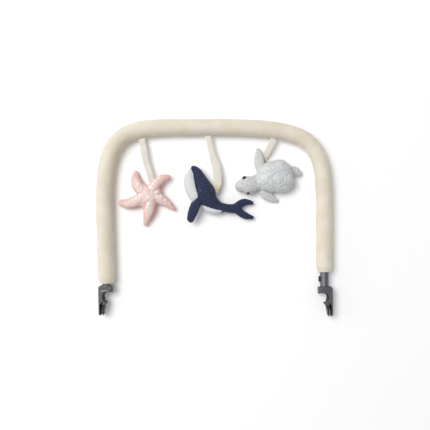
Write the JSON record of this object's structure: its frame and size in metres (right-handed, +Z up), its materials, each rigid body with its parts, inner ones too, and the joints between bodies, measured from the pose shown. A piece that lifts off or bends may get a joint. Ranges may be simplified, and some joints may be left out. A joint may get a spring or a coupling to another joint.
{
  "type": "baby toy bar",
  "caption": "Padded fabric arch with clips at its ends and soft sea toys, a starfish, a whale and a turtle, hanging on ribbons",
  "frame": {"origin": "centre of the lying bar's footprint, on the table", "axes": "+X from the left leg to the right leg, +Y from the clips up to the crown, +Z up from the table"},
  "size_m": [0.4514, 0.3758, 0.0432],
  "materials": {
    "cover_fabric": "woven cotton, matt",
    "foam": "soft foam",
    "elastic": "gathered elastic",
    "dark_steel": "satin black lacquer",
    "spring_steel": "bright wire",
    "pin_steel": "turned steel",
    "clip_plastic": "fine grained grey plastic",
    "lever_plastic": "fine grained black plastic",
    "button_plastic": "black plastic",
    "strap_ribbon": "folded cotton ribbon",
    "star_plush": "pink dotted jersey",
    "whale_navy": "navy melange jersey",
    "whale_white": "ribbed white jersey",
    "turtle_shell_fabric": "quilted grey melange jersey",
    "turtle_grey": "grey melange jersey",
    "eye_thread": "black satin stitch"
  },
  "bodies": {
    "bar": {"arch_tube": "dark_steel", "foam_sleeve": "foam", "cover_left_leg": "cover_fabric", "cover_left_bend": "cover_fabric", "cover_crown": "cover_fabric", "cover_right_bend": "cover_fabric", "cover_right_leg": "cover_fabric", "hem_band_left": "elastic", "hem_band_right": "elastic", "clip_body_left": "clip_plastic", "lever_pin_left": "pin_steel", "lever_spring_left": "spring_steel", "button_spring_left": "spring_steel", "clip_body_right": "clip_plastic", "lever_pin_right": "pin_steel", "lever_spring_right": "spring_steel", "button_spring_right": "spring_steel"},
    "lever_left": {"release_lever_left": "lever_plastic"},
    "button_left": {"release_button_left": "button_plastic"},
    "lever_right": {"release_lever_right": "lever_plastic"},
    "button_right": {"release_button_right": "button_plastic"},
    "star_link": {"star_strap_tab": "strap_ribbon"},
    "star": {"star_strap": "strap_ribbon", "star_body": "star_plush", "star_arm_top_left": "star_plush", "star_arm_top_right": "star_plush", "star_arm_right": "star_plush", "star_arm_bottom": "star_plush", "star_arm_left": "star_plush"},
    "whale_link": {"whale_strap_tab": "strap_ribbon"},
    "whale": {"whale_strap": "strap_ribbon", "whale_body": "whale_navy", "whale_tail": "whale_navy", "whale_belly": "whale_white", "whale_belly_rear": "whale_white", "whale_fluke_upper": "whale_navy", "whale_fluke_lower": "whale_navy", "whale_fin_near": "whale_navy", "whale_fin_far": "whale_navy"},
    "turtle_link": {"turtle_strap_tab": "strap_ribbon"},
    "turtle": {"turtle_strap": "strap_ribbon", "turtle_body": "turtle_grey", "turtle_shell": "turtle_shell_fabric", "turtle_head": "turtle_grey", "turtle_eye_left": "eye_thread", "turtle_eye_right": "eye_thread", "turtle_flipper_front_left": "turtle_grey", "turtle_flipper_front_right": "turtle_grey", "turtle_flipper_hind_left": "turtle_grey", "turtle_flipper_hind_right": "turtle_grey"}
  },
  "joints": [
    {"name": "left_lever_squeeze", "type": "hinge", "parent": "bar", "child": "lever_left", "pos_m": [-0.20846, -0.16264, 0.016], "axis": [0, 0, -1], "range_deg": [0, 5.5], "stiffness_Nm_per_rad": 0.3, "springref_deg": -14.32, "deforming": ["lever_spring_left"]},
    {"name": "left_button_press", "type": "slide", "parent": "bar", "child": "button_left", "axis": [-0.9996, -0.0297, 0], "range_m": [0, 0.0044], "stiffness_N_per_m": 600, "springref_m": -0.003, "deforming": ["button_spring_left"]},
    {"name": "right_lever_squeeze", "type": "hinge", "parent": "bar", "child": "lever_right", "pos_m": [0.21295, -0.1645, 0.016], "axis": [0, 0, 1], "range_deg": [0, 5.5], "stiffness_Nm_per_rad": 0.3, "springref_deg": -14.32, "deforming": ["lever_spring_right"]},
    {"name": "right_button_press", "type": "slide", "parent": "bar", "child": "button_right", "axis": [1, 0, 0], "range_m": [0, 0.0044], "stiffness_N_per_m": 600, "springref_m": -0.003, "deforming": ["button_spring_right"]},
    {"name": "star_swing", "type": "hinge", "parent": "bar", "child": "star_link", "pos_m": [-0.13873, 0.14801, 0.016], "axis": [0.9753, 0.2207, 0], "range_deg": [-80, 80]},
    {"name": "star_turn", "type": "hinge", "parent": "star_link", "child": "star", "pos_m": [-0.13679, 0.13922, 0.016], "axis": [0.2153, -0.9765, 0], "range_deg": [-90, 90]},
    {"name": "whale_swing", "type": "hinge", "parent": "bar", "child": "whale_link", "pos_m": [-0.0115, 0.1533, 0.016], "axis": [1, 0, 0], "range_deg": [-80, 80]},
    {"name": "whale_turn", "type": "hinge", "parent": "whale_link", "child": "whale", "pos_m": [-0.00982, 0.14446, 0.016], "axis": [0.187, -0.9824, 0], "range_deg": [-90, 90]},
    {"name": "turtle_swing", "type": "hinge", "parent": "bar", "child": "turtle_link", "pos_m": [0.113, 0.14713, 0.016], "axis": [0.988, -0.1546, 0], "range_deg": [-80, 80]},
    {"name": "turtle_turn", "type": "hinge", "parent": "turtle_link", "child": "turtle", "pos_m": [0.10857, 0.13929, 0.016], "axis": [-0.4916, -0.8708, 0], "range_deg": [-90, 90]}
  ]
}
